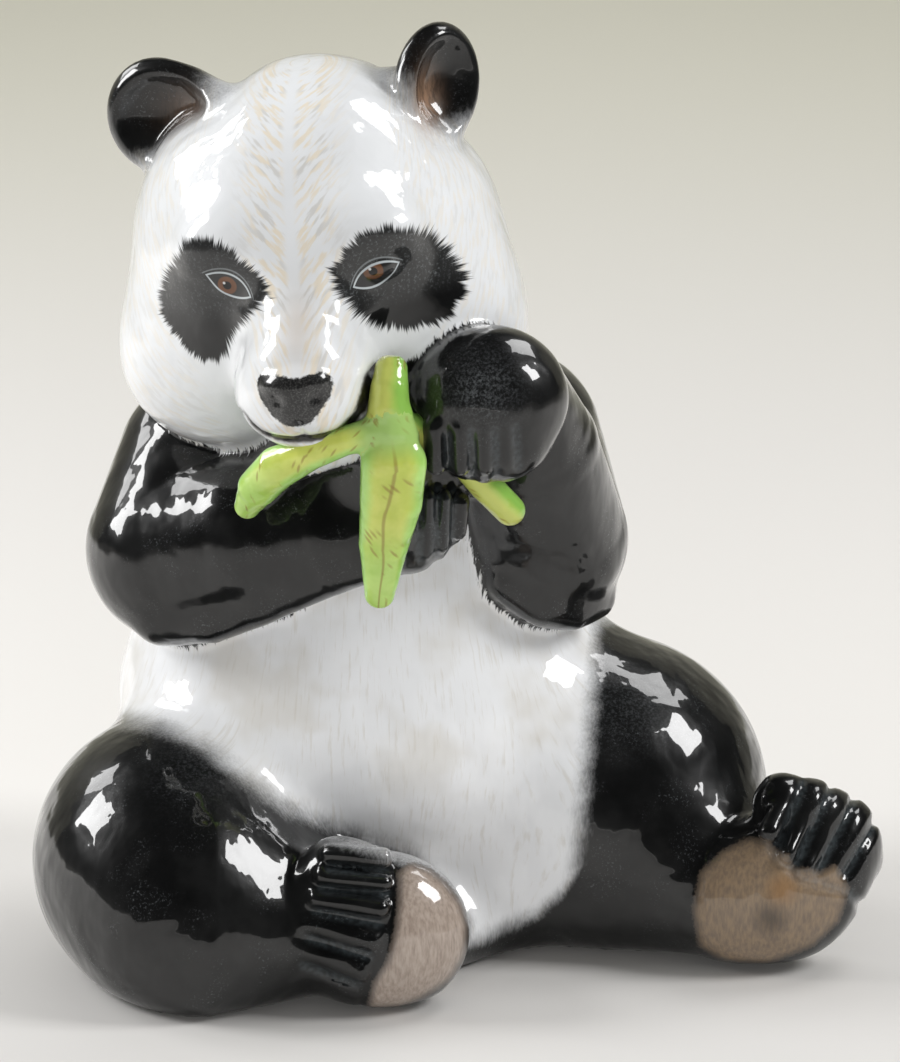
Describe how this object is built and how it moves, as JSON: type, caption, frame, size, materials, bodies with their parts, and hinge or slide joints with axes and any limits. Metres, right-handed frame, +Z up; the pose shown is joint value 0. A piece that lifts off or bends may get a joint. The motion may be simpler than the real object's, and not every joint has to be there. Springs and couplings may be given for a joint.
{
  "type": "panda figurine",
  "caption": "Seated panda in glazed ceramic, head tipped, holding a leafy bamboo stalk to its mouth with raised paws, legs spread on a flat base.",
  "frame": {"origin": "middle of the bounding box, on the flat resting face under the figure", "axes": "+Z up to the ears, -Y out of the front of the figure as pictured, +X to the viewer's right, where the outstretched foot is"},
  "size_m": [0.2258, 0.1596, 0.25],
  "materials": {
    "glazed_ceramic": "hand-painted under a clear, high-gloss glaze: white with black limbs, ears and eye patches, brown soles and a yellow-green bamboo sprig"
  },
  "bodies": {
    "root": {"panda_figurine": "glazed_ceramic"}
  },
  "joints": []
}
